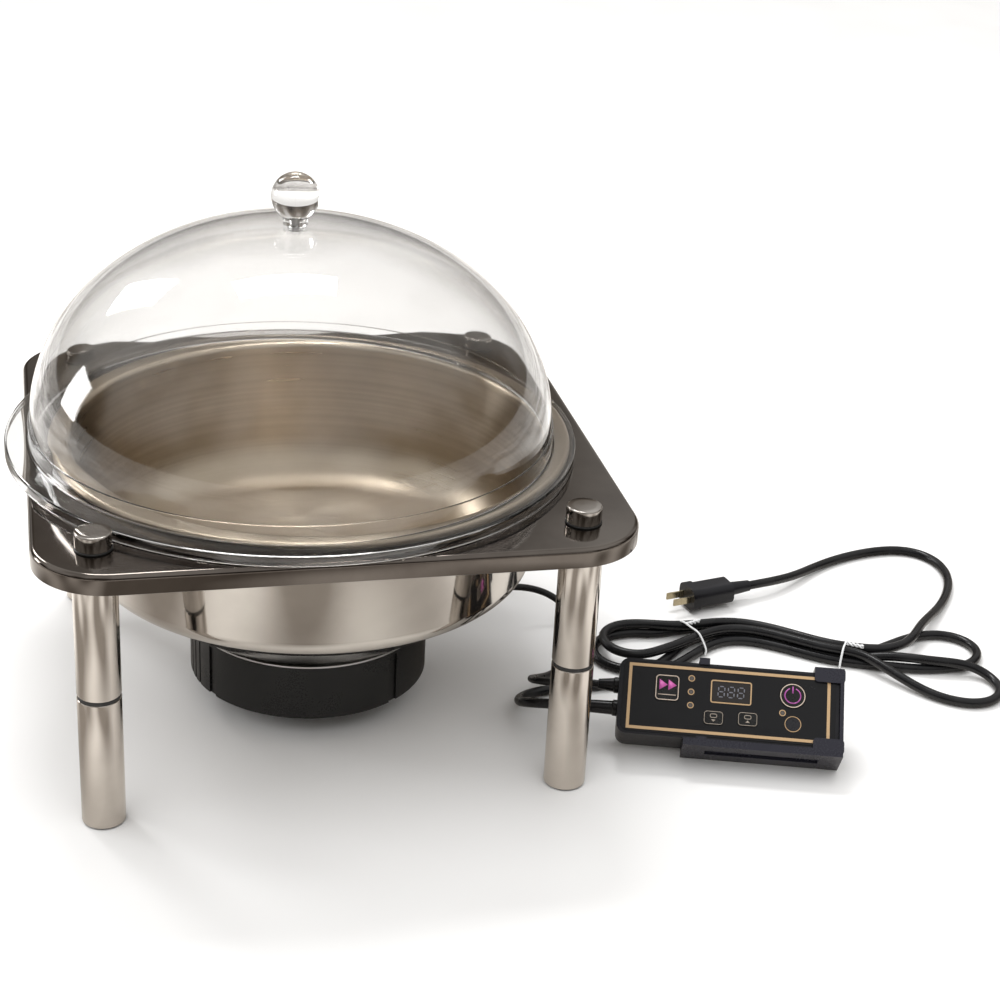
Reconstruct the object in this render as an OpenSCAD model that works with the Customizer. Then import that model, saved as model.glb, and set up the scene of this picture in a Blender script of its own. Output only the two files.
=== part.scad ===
// Round electric chafer: a square tray frame on four two-section legs carries a water pan and a
// lift-out food pan under a clear lift-off dome, with a heater below and a corded control box
// propped in its desk holder.
// Origin: centre of the tray frame on the table top. +X right, +Y to the back, +Z up. Millimetres.

/* [Tray frame] */
// Width and depth of the square tray plate
plate_w = 433; // [430:1:440]
// Height of the plate's top face above the table
plate_z = 221; // [218:1:230]
// Outer corner radius of the plate
plate_corner = 54; // [45:1:56]
// Depth of the turned-down skirt
skirt_h = 15; // [12:1:18]
// Sheet thickness of the plate
plate_t = 1.5; // [1.2:0.1:2]

/* [Legs] */
// Outer diameter of the leg tubes
leg_d = 31.8; // [30:0.1:32]
// Distance of each leg axis from the frame's centre lines
leg_pos = 173.5; // [173:0.5:174]
// Height at which the lower and the upper leg sections meet
leg_joint_z = 104; // [90:1:120]
// Diameter of the polished cap nuts on top of the plate
cap_d = 26; // [22:0.5:26]
// Height of the cap nuts
cap_h = 12; // [10:0.5:14]

/* [Pans] */
// Outer radius of the food pan's rolled rim
rim_r = 200.5; // [200:0.1:200.6]
// Height of the food pan's floor above the table
pan_floor_z = 112; // [108:1:125]
// Sheet thickness of both pans
pan_t = 1.2; // [1:0.1:1.4]

/* [Lid] */
// Outer radius of the lid's downturned flange
flange_r = 217.8; // [217.6:0.1:218]
// Sideways place of the lid's axis, pushed over on the rim
lid_x = -14; // [-14:0.5:0]
// Fore-and-aft place of the lid's axis
lid_y = -4.4; // [-4.4:0.1:0]
// Height of the dome's top above the ring wall
dome_h = 150; // [130:1:160]
// Wall thickness of the clear moulding
lid_t = 3; // [2.5:0.1:3.5]
// Diameter of the ball knob
knob_d = 36; // [32:1:40]

/* [Heater] */
// Outer radius of the round heater housing
heater_r = 95.3; // [94:0.1:96]
// Underside of the heater above the table
heater_z = 22.5; // [20:0.5:24]
// Height of the heater housing
heater_h = 44; // [42:0.5:45]

/* [Control box] */
// Length of the control box
box_w = 172; // [170:1:174]
// Height of the control box's face
box_h = 62; // [61:0.5:63]
// Thickness of the control box
box_t = 28; // [27:0.5:29]
// Slope of the face back from upright, as the holder props it
box_tilt = 40; // [39:0.5:41]
// Turn of the box about the vertical
box_yaw = 17; // [16:0.5:18]

/* [Cords] */
// Diameter of the heater lead
lead_d = 6; // [5:0.5:7]
// Diameter of the mains cord
cord_d = 8; // [7:0.5:8]

/* [Hidden] */
$fn = 72;
gap = 0.3;                  // clearance between pieces that come apart
fit = 0.1;                  // radial clearance of a stud or a screw in its hole
half = plate_w / 2;
skin_z = plate_z - plate_t; // underside of the plate's sheet
edge_r = 4;                 // outside radius of the plate's top edge
hole_r = 187.5;             // the hole that the water pan drops into
leg_t = 1.5;
ring_h = 3;                 // black spacer ring between the leg sections
pad_t = 3;                  // welded pad under the plate at each leg
foot_drop = 1;              // how far the glide stands out of the tube
foot_h = 9;
plug_h = 8;                 // turned plugs in the tube ends
stud_r = 4;
washer_t = 1.5;
washer_r = 13.5;
cap_bore = 8;
pad_r = 19;
leg_top_z = skin_z - pad_t;
LEGS = [["fl", -1, -1], ["fr", 1, -1], ["rl", -1, 1], ["rr", 1, 1]];

bead_r = 3;                 // bead of the food pan's rolled rim
rim_z = plate_z + gap + 2 * bead_r;
rim_in_r = 188;             // inner edge of the flat rim
wall_low_r = 172.8;         // inside of the food pan's wall where the floor's curve starts
pan_fillet = 40;
water_top_r = 186.5;        // outside of the water pan at the plate
water_low_r = 177;          // outside of the water pan low on its wall
water_low_z = 136;          // where the wall turns into the sloping bottom
water_turn = 16;
water_foot_r = 93;          // flat underside that sits on the heater
water_foot_z = heater_z + heater_h + 1.5;
water_flange_r = 193;

seat_z = rim_z + gap;       // underside of the lid's flange
flange_t = 2.6;
lip_t = 2.2;
lip_z = plate_z + 0.8;      // bottom of the lip, just off the plate
ring_r = 200;               // outside of the ring wall and of the dome's foot
ring_z = plate_z + 23;      // where the dome starts
step = 1.4;                 // small shoulder between ring wall and dome
dome_z = ring_z + dome_h;
knob_z = dome_z + 3 + knob_d / 2;
neck_r = 9;

shell_t = 3;
top_plate_t = 4;
heater_top_z = heater_z + heater_h;
plate_low_z = heater_top_z - top_plate_t;
boss_pos = 74;              // radius of the heater's screw circle
boss_r = 5;
shelf_r = 8;                // shoulder on each boss that carries the insulation
shelf_z = heater_z + 24;
screw_r = 2;
GROOVES = [30, 126, 210, 306];
groove_w = 8;
VENTS = [1, 187];           // first bearing of each cluster of three narrow grooves
vent_w = 2.2;
vent_step = 5.5;
clamp_r = 3;                // stud that holds the heater under the water pan
gland_angle = 20;           // bearing of the heater's lead exit
gland_z = 44;
gland_out = heater_r + 25;

floor_gap = 6.5;            // least height of the control box off the table
face_at = [307, -158, box_h / 2 * sin(box_tilt) + box_t * cos(box_tilt) + floor_gap];
along = [cos(box_yaw), -sin(box_yaw), 0];
upward = [sin(box_yaw) * cos(box_tilt), cos(box_yaw) * cos(box_tilt), sin(box_tilt)];
outward = [-sin(box_yaw) * sin(box_tilt), -cos(box_yaw) * sin(box_tilt), cos(box_tilt)];
case_wall = 2.2;
case_corner = 8;
split_n = -10;              // parting plane of the case, below its face
overlay_t = 0.5;
line_t = 0.3;
frame_w = 157.5;
frame_h = 54;
frame_line = 2.4;
key_lift = 0.7;             // how far a key stands out of the overlay
key_top = overlay_t + key_lift;
KEYS = [[-48.3, 8.3, 18.5, 21, 3], [-11.3, -13.3, 15, 11, 2.5], [15.2, -12.3, 15, 11, 2.5]];
power_at = [49.5, 9.9];
power_r = 10;
display_at = [1.6, 8.6];
display_w = 29;
display_h = 16;
LEDS = [[-29.6, 17.7], [-29.6, 6.6], [-29.6, -4.4], [42, -4.6]];
led_r = 1.5;
sensor_at = [50.3, -13.1];
sensor_r = 5.5;
board_n = -9;               // component face of the circuit board
board_t = 1.4;
POSTS = [[-78, -23], [-78, 23], [78, -23], [78, 23]];
post_r = 4;
case_screw_r = 1.5;
end_u = -box_w / 2;
cord_n = -19;               // depth of the two cords' reliefs below the face
lead_v = 14;
mains_v = -5;
relief_r = 5.5;
lead_relief = 16;           // length of each strain relief outside the case
mains_relief = 24;

holder_t = 3;
holder_left = -34;
holder_right = box_w / 2 + gap + holder_t;
back_n = -box_t - gap;
heel_v = (-face_at[2] - (back_n - holder_t) * cos(box_tilt)) / sin(box_tilt);

plug_z = 13;                // height of the plug's axis, lying on the table
plug_at = [413, 91, plug_z]; // where the mains cord enters the plug
plug_turn = 12;             // bearing of the plug's axis
blade_gap = 12.7;
blade_len = 17;

function unit(v) = v / norm(v);
function box_point(u, v, n) = face_at + u * along + v * upward + n * outward;
function gland_point(r) = [r * cos(gland_angle), r * sin(gland_angle), gland_z];

// Heater lead from the heater's gland to the control box: level out of the gland, down to the
// table, round behind the front leg and up into the box.
lead_route = [
    gland_point(gland_out), gland_point(gland_out + 12), [147, 55, 43], [175, 67, 40], [200, 76, 34],
    [221, 77, 26], [235, 69, 17], [241, 54, 9], [241, 37, 5], [235, 20, 3.3], [226, 5, 3.3],
    [215, -9, 3.3], [204, -22, 4.5], [193, -35, 9.5], [183, -47, 16], [175, -59, 23], [170, -71, 30],
    [171, -83, 35.5], [178, -93.5, 39.5], [188.5, -99.9, 41.6],
    box_point(end_u - lead_relief - 10, lead_v, cord_n),
    box_point(end_u - lead_relief, lead_v, cord_n)];
// Mains cord, first stretch: out of the box, down behind the front leg and into the hank.
mains_in_route = [
    box_point(end_u - mains_relief, mains_v, cord_n), box_point(end_u - mains_relief - 10, mains_v, cord_n),
    [178, -108, 28], [164.5, -96, 23], [159, -80, 15], [164, -63.5, 8], [178, -51.5, 5], [202, -47, 4.2],
    [232, -47, 4.2], [264, -45, 4.2], [294, -34, 4.2]];
// Mains cord, last stretch: out of the hank, round a wide loop at the back and into the plug.
mains_out_route = [
    [490, -35, 12.4], [509, -32, 12.4], [526, -20, 12.4], [542, 1, 12.4], [562, 23, 8.5], [584, 48, 4.2],
    [603, 75, 4.2], [615, 103, 4.2], [616, 131, 4.2], [604, 151, 4.2], [583, 160, 4.2], [552, 157, 4.2],
    [520, 147, 4.2], [492, 132, 5], [468, 114, 8], [446, 101, 11.5],
    plug_at + 16 * [cos(plug_turn), sin(plug_turn), 0], plug_at];
// Middle line of the tied hank and its half width along each stretch.
HANK = [[274, 4, 32], [312, 8, 30], [368, 25, 21], [422, -4, 16], [466, -36, 15], [508, -56, 36],
        [532, -60, 60]];
hank_h = 17;
// Twist ties round the hank: [x, y, bearing, width inside].
TIES = [[458, -30, -33, 33], [334, 16, 20, 58]];
tie_t = 1.5;

// ---- helpers -------------------------------------------------------------------------------

// Points on an arc about [x, y] from angle a to angle b.
function arc(x, y, r, a, b, n) = [for (i = [0:n]) let (t = a + (b - a) * i / n) [x + r * cos(t), y + r * sin(t)]];

// Points on an upright ellipse quarter from [rx, y] up to [0, y + ry].
function quarter(rx, ry, y, n) = [for (i = [0:n]) let (t = 90 * i / n) [rx * cos(t), y + ry * sin(t)]];

module at_legs() {
    for (leg = LEGS) translate([leg[1] * leg_pos, leg[2] * leg_pos, 0]) children();
}

module tube(z0, z1, r_out, r_in) {
    translate([0, 0, z0]) difference() {
        cylinder(h = z1 - z0, r = r_out);
        translate([0, 0, -1]) cylinder(h = z1 - z0 + 2, r = r_in);
    }
}

module disc(z0, z1, r) {
    translate([0, 0, z0]) cylinder(h = z1 - z0, r = r);
}

module rounded_square(w, h, r) {
    union() {
        square([w - 2 * r, h], center = true);
        square([w, h - 2 * r], center = true);
        for (x = [-1, 1], y = [-1, 1]) translate([x * (w / 2 - r), y * (h / 2 - r)]) circle(r);
    }
}

// Block with rounded corners in plan, from height z0 to z1.
module slab(w, h, r, z0, z1) {
    translate([0, 0, z0]) linear_extrude(z1 - z0) rounded_square(w, h, r);
}

// The control box's own frame: x along the box, y up its face, z out of the face.
module on_box() {
    translate(face_at) rotate([box_tilt, 0, -box_yaw]) children();
}

function route_dir(p, i) = unit(p[min(i + 1, len(p) - 1)] - p[max(i - 1, 0)]);

// Tube swept along a route: at each point a ring of n corners square to the route.
module swept(p, r, n) {
    rings = [for (i = [0:len(p) - 1]) let (
        d = route_dir(p, i), side = unit(cross(d, [0, 0, 1])), up = cross(side, d))
        for (k = [0:n - 1]) p[i] + r * (cos(360 * k / n) * side + sin(360 * k / n) * up)];
    last = (len(p) - 1) * n;
    polyhedron(rings, concat(
        [[for (k = [0:n - 1]) n - 1 - k]],
        [for (i = [0:len(p) - 2], k = [0:n - 1])
            [i * n + k, i * n + (k + 1) % n, (i + 1) * n + (k + 1) % n, (i + 1) * n + k]],
        [[for (k = [0:n - 1]) last + k]]));
}

// Smooth curve through a route's points (Catmull-Rom), m steps between neighbours.
function mid(a, b, c, d, t) = 0.5 * (2 * b + (c - a) * t + (2 * a - 5 * b + 4 * c - d) * t * t
    + (3 * b - a - 3 * c + d) * t * t * t);
function smooth(p, m) = concat(
    [for (i = [0:len(p) - 2], k = [0:m - 1])
        mid(p[max(i - 1, 0)], p[i], p[i + 1], p[min(i + 2, len(p) - 1)], k / m)],
    [p[len(p) - 1]]);

// ---- tray frame and legs -------------------------------------------------------------------

// Turned-down edge of the plate in section: x = 0 is the outer face, y = 0 the top face.
module edge_section() {
    polygon(concat([[-edge_r - 1, -plate_t], [-edge_r - 1, 0]], arc(-edge_r, -edge_r, edge_r, 90, 0, 5),
        [[0, -skirt_h], [-plate_t, -skirt_h]], arc(-edge_r, -edge_r, edge_r - plate_t, 0, 90, 5)));
}

module plate_frame() {
    run = plate_w - 2 * plate_corner;
    color([0.36, 0.33, 0.31]) union() {
        difference() {
            slab(plate_w - 2 * edge_r, plate_w - 2 * edge_r, plate_corner - edge_r, skin_z, plate_z);
            disc(skin_z - 1, plate_z + 1, hole_r);
            at_legs() disc(skin_z - 1, plate_z + 1, stud_r + fit);
        }
        for (q = [0:3]) rotate([0, 0, 90 * q]) {
            translate([half - plate_corner, half - plate_corner, plate_z])
                rotate_extrude(angle = 90) translate([plate_corner, 0]) edge_section();
            translate([half, run / 2, plate_z]) rotate([90, 0, 0]) linear_extrude(run) edge_section();
        }
    }
}

module leg_mount_pads() {
    color([0.5, 0.5, 0.5]) at_legs() tube(leg_top_z, skin_z, pad_r, stud_r + fit);
}

module leg_upper(leg) {
    color([0.75, 0.74, 0.72]) translate([leg[1] * leg_pos, leg[2] * leg_pos, 0])
        tube(leg_joint_z + ring_h, leg_top_z, leg_d / 2, leg_d / 2 - leg_t);
}

module leg_lower(leg) {
    color([0.75, 0.74, 0.72]) translate([leg[1] * leg_pos, leg[2] * leg_pos, 0])
        tube(foot_drop, leg_joint_z, leg_d / 2, leg_d / 2 - leg_t);
}

module leg_end_plugs() {
    color([0.6, 0.6, 0.6]) at_legs()
        for (z = [leg_joint_z - plug_h, leg_joint_z + ring_h, leg_top_z - plug_h])
            tube(z, z + plug_h, leg_d / 2 - leg_t, stud_r + fit);
}

module leg_joint_rings() {
    color([0.03, 0.03, 0.03]) at_legs()
        tube(leg_joint_z, leg_joint_z + ring_h, leg_d / 2 - 0.5, stud_r + fit);
}

module leg_studs() {
    color([0.6, 0.6, 0.6]) at_legs()
        disc(leg_joint_z - plug_h - 10, plate_z + washer_t + cap_bore - 1, stud_r);
}

module leg_caps() {
    z = plate_z + washer_t;
    color([0.7, 0.69, 0.68]) at_legs() difference() {
        rotate_extrude() polygon(concat([[0, z], [cap_d / 2, z]],
            arc(cap_d / 2 - 1, z + cap_h - 1, 1, 0, 90, 4), [[0, z + cap_h]]));
        disc(z - 1, z + cap_bore, stud_r + fit);
    }
}

module cap_washers() {
    color([0.03, 0.03, 0.03]) at_legs() tube(plate_z, plate_z + washer_t, washer_r, stud_r + fit);
}

module foot_pads() {
    color([0.05, 0.05, 0.05]) at_legs() {
        disc(0, foot_drop, leg_d / 2 - 0.8);
        disc(foot_drop, foot_h, leg_d / 2 - leg_t);
    }
}

// ---- pans ----------------------------------------------------------------------------------

function backward(p) = [for (i = [len(p) - 1:-1:0]) p[i]];

// Line of the water pan from the plate down to its flat foot, set in from the outside by s.
function water_line(s) = concat([[water_top_r - s, plate_z]],
    arc(water_low_r - water_turn, water_low_z, water_turn - s, 0, -54.5, 6), [[water_foot_r, water_foot_z + s]]);

module water_pan() {
    color([0.72, 0.71, 0.69]) difference() {
        rotate_extrude($fn = 144) polygon(concat(
            [[water_flange_r, plate_z + pan_t], [water_flange_r, plate_z]],
            water_line(0), [[0, water_foot_z], [0, water_foot_z + pan_t]],
            backward(water_line(pan_t)), [[water_top_r - pan_t, plate_z + pan_t]]));
        disc(water_foot_z - 1, water_foot_z + 3, clamp_r + fit);
    }
}

// Line of the food pan from its rim down to the floor, set outwards by s.
function food_line(s) = concat(arc(rim_in_r, rim_z - 5, 5 - s, 90, 180, 4),
    arc(wall_low_r - pan_fillet, pan_floor_z + pan_fillet, pan_fillet + s, 0, -90, 9));

module food_pan() {
    color([0.8, 0.79, 0.77]) rotate_extrude($fn = 144) union() {
        polygon(concat([[rim_r - bead_r, rim_z]], food_line(0), [[0, pan_floor_z], [0, pan_floor_z - pan_t]],
            backward(food_line(pan_t)), [[rim_r - bead_r, rim_z - pan_t]]));
        translate([rim_r - bead_r, rim_z - bead_r]) circle(bead_r);
    }
}

// ---- lid -----------------------------------------------------------------------------------

module at_lid() {
    translate([lid_x, lid_y, 0]) children();
}

module lid_dome() {
    top = seat_z + flange_t;
    outer = quarter(ring_r - step, dome_h, ring_z, 18);
    inner = quarter(ring_r - step - lid_t, dome_h - lid_t, ring_z, 18);
    color([0.85, 0.87, 0.88, 0.35]) at_lid() difference() {
        rotate_extrude($fn = 144) polygon(concat(
            [[flange_r, lip_z], [flange_r, top - 1], [flange_r - 1, top], [ring_r + 1, top],
             [ring_r, top + 1], [ring_r, ring_z - 1], [ring_r - step, ring_z]],
            [for (i = [1:18]) outer[i]], backward(inner),
            [[ring_r - step - lid_t, seat_z], [flange_r - lip_t, seat_z], [flange_r - lip_t, lip_z]]));
        disc(dome_z - 10, dome_z + 10, 3 + fit);
    }
}

module lid_knob() {
    color([0.85, 0.87, 0.88, 0.35]) at_lid() difference() {
        rotate_extrude() intersection() {
            union() {
                translate([0, knob_z]) circle(knob_d / 2);
                translate([0, dome_z]) square([neck_r, 9]);
            }
            translate([0, dome_z]) square([knob_d, knob_d * 2]);
        }
        disc(dome_z - 1, dome_z + 11, 3 + fit);
    }
}

module lid_knob_screw() {
    color([0.7, 0.7, 0.7]) at_lid() {
        disc(dome_z - lid_t - 1, dome_z + 10, 3);
        disc(dome_z - lid_t - gap - 3, dome_z - lid_t - gap, 6);
    }
}

// ---- heater --------------------------------------------------------------------------------

module at_bosses() {
    for (a = [45:90:315]) rotate([0, 0, a]) translate([boss_pos, 0, 0]) children();
}

module flute(bearing, w) {
    rotate([0, 0, bearing]) translate([heater_r - 1.5, -w / 2, heater_z - 1]) cube([5, w, heater_h - 1]);
}

module heater_shell() {
    color([0.05, 0.05, 0.055]) difference() {
        union() {
            difference() {
                disc(heater_z, heater_top_z, heater_r);
                disc(heater_z + shell_t, heater_top_z + 1, heater_r - shell_t);
            }
            at_bosses() disc(heater_z + 1, plate_low_z, boss_r);
            at_bosses() disc(heater_z + 1, shelf_z, shelf_r);
        }
        for (a = GROOVES) flute(a, groove_w);
        for (a = VENTS, k = [0:2]) flute(a + k * vent_step, vent_w);
        at_bosses() {
            disc(heater_z - 1, heater_top_z, screw_r + fit);
            disc(heater_z - 1, heater_z + 2, 2 * screw_r + fit);
        }
        rotate([0, 0, gland_angle]) translate([heater_r - 8, 0, gland_z]) rotate([0, 90, 0])
            cylinder(h = 12, r = 6);
    }
}

module heater_top_plate() {
    color([0.75, 0.75, 0.75]) difference() {
        union() {
            disc(plate_low_z, heater_top_z, heater_r - shell_t - fit);
            disc(heater_top_z, water_foot_z, heater_r - 0.6);
        }
        at_bosses() disc(plate_low_z - 1, heater_top_z - 1, screw_r + fit);
        disc(plate_low_z - 1, water_foot_z + 1, clamp_r + fit);
    }
}

module heater_element() {
    color([0.45, 0.42, 0.4]) tube(plate_low_z - 7, plate_low_z, 58, 49);
}

module heater_insulation() {
    color([0.9, 0.9, 0.85]) difference() {
        disc(shelf_z, shelf_z + 6, heater_r - shell_t - 6);
        at_bosses() disc(shelf_z - 1, shelf_z + 7, boss_r + fit);
    }
}

module heater_thermostat() {
    color([0.8, 0.75, 0.6]) translate([24, 0, 0]) {
        disc(shelf_z + 6, plate_low_z, 8);
        translate([-13, -4, shelf_z + 6]) cube([26, 8, 4]);
    }
}

module heater_terminals() {
    color([0.88, 0.86, 0.8]) rotate([0, 0, gland_angle]) translate([50, -14, heater_z + shell_t])
        for (k = [0:2]) translate([0, 10 * k, 0]) cube([18, 8, 10]);
}

module heater_screws() {
    color([0.55, 0.55, 0.55]) at_bosses() {
        disc(heater_z + 2, heater_top_z - 1.5, screw_r);
        disc(heater_z + 0.2, heater_z + 2, 2 * screw_r - 0.3);
    }
}

module heater_clamp() {
    color([0.6, 0.6, 0.6]) {
        disc(plate_low_z, water_foot_z + pan_t + 5, clamp_r);
        disc(plate_low_z - 2, plate_low_z, 5);
        translate([0, 0, water_foot_z + pan_t]) cylinder(h = 3.5, r = 6, $fn = 6);
    }
}

// Turned profile [radius, distance along the axis], laid along +X.
module turned_x(p) {
    rotate([0, 90, 0]) rotate_extrude() polygon(p);
}

module heater_gland() {
    color([0.04, 0.04, 0.04]) rotate([0, 0, gland_angle]) translate([0, 0, gland_z])
        turned_x([[0, heater_r - 7], [6, heater_r - 7], [6, heater_r], [8, heater_r],
            [8, heater_r + 3], [6, heater_r + 4], [4.4, gland_out], [0, gland_out]]);
}

module heater_lead() {
    color([0.03, 0.03, 0.03]) swept(smooth(lead_route, 2), lead_d / 2, 8);
}

// ---- control box ---------------------------------------------------------------------------

module at(p) {
    translate([p[0], p[1], 0]) children();
}

// Everything that shows through the face, cut from height n0 to n1 with clearance c.
module face_openings(n0, n1, c) {
    for (k = KEYS) at(k) slab(k[2] + 2 * c, k[3] + 2 * c, k[4] + c, n0, n1);
    at(power_at) disc(n0, n1, power_r + c);
    at(display_at) slab(display_w, display_h, 1, n0, n1);
    for (led = LEDS) at(led) disc(n0, n1, led_r);
    at(sensor_at) disc(n0, n1, sensor_r);
}

// Closed block of the case, hollow above or below the wall that is left at its outer end.
module shell_half(n0, n1, hollow_0, hollow_1) {
    difference() {
        slab(box_w, box_h, case_corner, n0, n1);
        slab(box_w - 2 * case_wall, box_h - 2 * case_wall, case_corner - case_wall, hollow_0, hollow_1);
    }
}

module case_front() {
    color([0.06, 0.06, 0.07]) on_box() difference() {
        union() {
            shell_half(split_n, 0, split_n - 1, -case_wall);
            for (p = POSTS) at(p) disc(split_n, -1, post_r);
        }
        face_openings(-5, 1, gap);
        for (p = POSTS) at(p) disc(split_n - 1, -3, case_screw_r + fit);
    }
}

module case_back() {
    color([0.06, 0.06, 0.07]) on_box() difference() {
        union() {
            shell_half(-box_t, split_n, case_wall - box_t, split_n + 1);
            for (p = POSTS) at(p) disc(-box_t + 1, split_n, post_r);
            for (u = [-50, 50], v = [-18, 18]) at([u, v]) disc(-box_t + 1, board_n - board_t, 2.5);
        }
        for (p = POSTS) at(p) {
            disc(-box_t - 1, split_n + 1, case_screw_r + fit);
            disc(-box_t - 1, -box_t + 2, 3.1);
        }
        for (v = [lead_v, mains_v]) translate([end_u - 1, v, cord_n]) rotate([0, 90, 0])
            cylinder(h = 5, r = relief_r);
    }
}

module face_overlay() {
    color([0.02, 0.02, 0.02]) on_box() difference() {
        slab(box_w - 6, box_h - 4, case_corner - 2, 0, overlay_t);
        face_openings(-1, 1, gap);
    }
}

// Rectangular line of width t printed just proud of the overlay.
module printed_line(w, h, r, t) {
    difference() {
        slab(w, h, r, overlay_t, overlay_t + line_t);
        slab(w - 2 * t, h - 2 * t, max(r - t, 0.2), 0, 2);
    }
}

module face_frame() {
    color([0.72, 0.5, 0.2]) on_box() {
        printed_line(frame_w, frame_h, 0.4, frame_line);
        at(display_at) printed_line(display_w + 3, display_h + 3, 2, 1);
        for (led = LEDS) at(led) tube(overlay_t, overlay_t + line_t, led_r + 1.1, led_r + 0.4);
        at(sensor_at) tube(overlay_t, overlay_t + line_t, sensor_r + 0.9, sensor_r + 0.4);
    }
}

module display_window() {
    color([0.02, 0.02, 0.02]) on_box() at(display_at) slab(display_w, display_h, 1, -1.2, key_top - 0.4);
}

// One seven-segment digit, its segments as thin bars.
module digit(x) {
    for (v = [-3.6, 0, 3.6]) translate([x - 1.6, v - 0.4, -1.4]) cube([3.2, 0.8, 0.2]);
    for (u = [-2.5, 1.7], v = [-3.1, 0.5]) translate([x + u, v, -1.4]) cube([0.8, 2.6, 0.2]);
}

module display_digits() {
    color([0.2, 0.2, 0.23]) on_box() at(display_at) for (x = [-7.5, 0, 7.5]) digit(x);
}

module display_module() {
    color([0.1, 0.1, 0.1]) on_box() at(display_at) slab(display_w - 1, display_h - 1, 1, board_n, -1.4);
}

module circuit_board() {
    color([0.05, 0.25, 0.1]) on_box() slab(142, 50, 1, board_n - board_t, board_n);
}

module power_transformer() {
    color([0.3, 0.3, 0.32]) on_box() translate([-28, -12, 1 - box_t + case_wall]) {
        cube([28, 24, -board_t + board_n + box_t - case_wall - 1]);
    }
}

module power_relay() {
    color([0.1, 0.2, 0.5]) on_box() translate([14, -8, board_n - board_t - 12]) cube([20, 16, 12]);
}

module key_switches() {
    color([0.5, 0.5, 0.5]) on_box() for (k = concat(KEYS, [power_at])) at(k) {
        slab(6, 6, 0.5, board_n, -5.5);
        disc(-5.5, -4.6, 1.6);
    }
}

module status_leds() {
    color([0.8, 0.8, 0.75]) on_box() for (led = LEDS) at(led) disc(board_n, overlay_t + 0.2, led_r);
}

module light_sensor() {
    color([0.08, 0.08, 0.09]) on_box() at(sensor_at) disc(board_n, overlay_t + 0.2, sensor_r);
}

module case_screws() {
    color([0.4, 0.4, 0.4]) on_box() for (p = POSTS) at(p) {
        disc(-box_t + 2, -4, case_screw_r);
        disc(-box_t + 0.3, -box_t + 2, 2.8);
    }
}

// Moulded strain relief at the box's left end, its axis along the box.
module box_relief(v, length, tip_r) {
    color([0.04, 0.04, 0.04]) on_box() translate([end_u, v, cord_n]) rotate([0, 0, 180])
        turned_x([[0, -4.5], [6.4, -4.5], [6.4, -case_wall], [relief_r, -case_wall], [relief_r, 0],
            [6.4, 0], [6.4, 3], [relief_r, 4], [tip_r, length], [0, length]]);
}

module lead_strain_relief() {
    box_relief(lead_v, lead_relief, lead_d / 2 + 1);
}

module mains_strain_relief() {
    box_relief(mains_v, mains_relief, cord_d / 2 + 1);
}

// Key cap with the wider foot that keeps it behind the face.
module key(k) {
    color([0.03, 0.03, 0.03]) on_box() at(k) {
        slab(k[2], k[3], k[4], -2.5, key_top);
        slab(k[2] + 2, k[3] + 2, k[4] + 1, -3.7, -2.5);
    }
}

module power_button() {
    color([0.03, 0.03, 0.03]) on_box() at(power_at) {
        disc(-2.5, key_top, power_r);
        disc(-3.7, -2.5, power_r + 1);
    }
}

// Upright rib behind the cradle, from its back plate down to the table.
module prop(u) {
    top = [28 * cos(box_tilt) - (back_n - 1) * sin(box_tilt), 28 * sin(box_tilt) + (back_n - 1) * cos(box_tilt)];
    low = [heel_v * cos(box_tilt) - (back_n - holder_t) * sin(box_tilt), -face_at[2]];
    translate(face_at) rotate([0, 0, -box_yaw]) translate([u, 0, 0]) rotate([90, 0, 90])
        linear_extrude(4) polygon([low, [low[0] + 6, low[1] + 9], top, [top[0] + 5, top[1]], [top[0] + 5, low[1]]]);
}

module box_holder() {
    w = holder_right - holder_left;
    low_v = -box_h / 2 - gap;
    color([0.04, 0.04, 0.045]) union() {
        on_box() {
            translate([holder_left, heel_v, back_n - holder_t]) cube([w, box_h / 2 + 4 - heel_v, holder_t]);
            difference() {
                translate([holder_left, heel_v, back_n - 1]) cube([w, low_v - heel_v, 1 - back_n + 2.5]);
                translate([-16, heel_v - 1, -18]) cube([88, 3, 9]);
            }
            translate([holder_right - holder_t, heel_v, back_n - 1])
                cube([holder_t, box_h / 2 + 4 - heel_v, 1 - back_n + 2.5]);
            for (v = [-1, 1]) translate([78, v * 29, 0]) slab(24, 12, 3, 1.1, 2.6);
            for (hook = [[-24, 8], [66, 23.3]]) {
                translate([hook[0], box_h / 2 + gap, back_n - 1]) cube([hook[1], 4 - gap, 1 - back_n + 2.5]);
            }
            translate([-24, box_h / 2 - 1.4, 1.1]) cube([8, 5.4, 1.4]);
            translate([-24, heel_v, 1.1]) cube([8, low_v - heel_v + 1.7, 1.4]);
        }
        for (u = [-20, 66]) prop(u);
    }
}

// ---- mains cord ----------------------------------------------------------------------------

module mains_cord_in() {
    color([0.03, 0.03, 0.03]) swept(smooth(mains_in_route, 2), cord_d / 2, 8);
}

module mains_cord_out() {
    color([0.03, 0.03, 0.03]) swept(smooth(mains_out_route, 2), cord_d / 2, 8);
}

// The tied hank as one block: round ends joined along its middle line.
module mains_cord_hank() {
    color([0.03, 0.03, 0.03]) linear_extrude(hank_h) for (i = [0:len(HANK) - 2])
        hull() for (p = [HANK[i], HANK[i + 1]]) translate([p[0], p[1]]) circle(p[2], $fn = 32);
}

module mains_cord_tie() {
    color([0.9, 0.9, 0.9]) for (tie = TIES) at(tie) rotate([0, 0, tie[2]]) difference() {
        slab(3, tie[3] + 2 * tie_t, 0.5, 0, hank_h + tie_t);
        slab(4, tie[3], 0.5, -1, hank_h);
    }
}

module at_plug() {
    translate(plug_at) rotate([0, 0, 180 + plug_turn]) children();
}

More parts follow.
